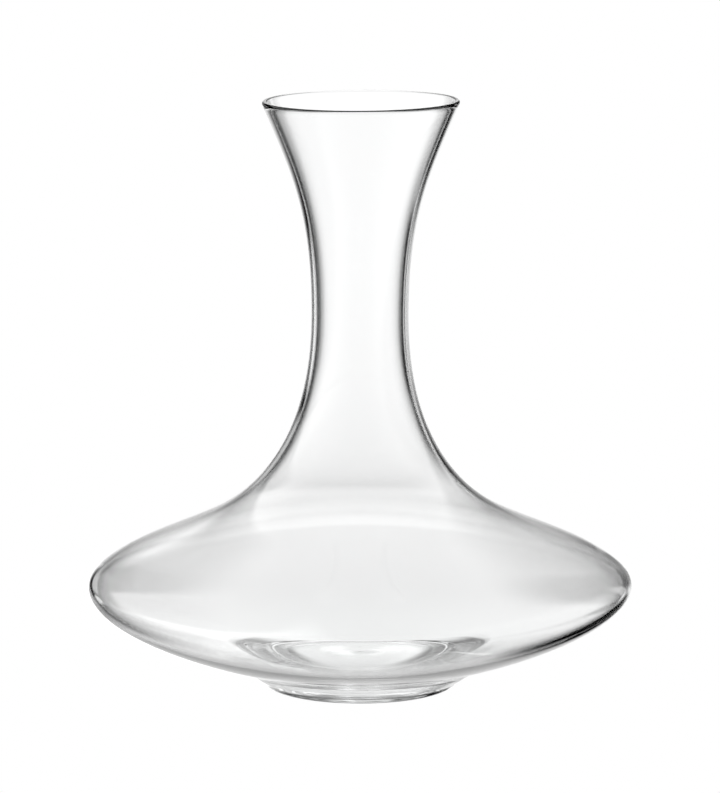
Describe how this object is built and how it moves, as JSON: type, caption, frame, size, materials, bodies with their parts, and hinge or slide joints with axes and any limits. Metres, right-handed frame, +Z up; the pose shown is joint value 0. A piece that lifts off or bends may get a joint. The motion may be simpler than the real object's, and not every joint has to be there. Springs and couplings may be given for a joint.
{
  "type": "wine decanter",
  "caption": "Clear glass wine decanter: a wide, low, lens-shaped bowl that sweeps up into a waisted neck and a flared open mouth, on a small solid foot.",
  "frame": {"origin": "middle of the standing ring, on the surface that the decanter stands on", "axes": "+Z up along the decanter's axis, from the foot towards the mouth; X and Y are level and alike, because it is round"},
  "size_m": [0.22, 0.22, 0.2384],
  "materials": {
    "vessel_glass": "clear blown glass, fire-polished all over, lip rounded in the flame",
    "foot_glass": "clear solid glass, polished, with a finely worn standing ring"
  },
  "bodies": {
    "root": {"vessel": "vessel_glass", "foot": "foot_glass"}
  },
  "joints": []
}
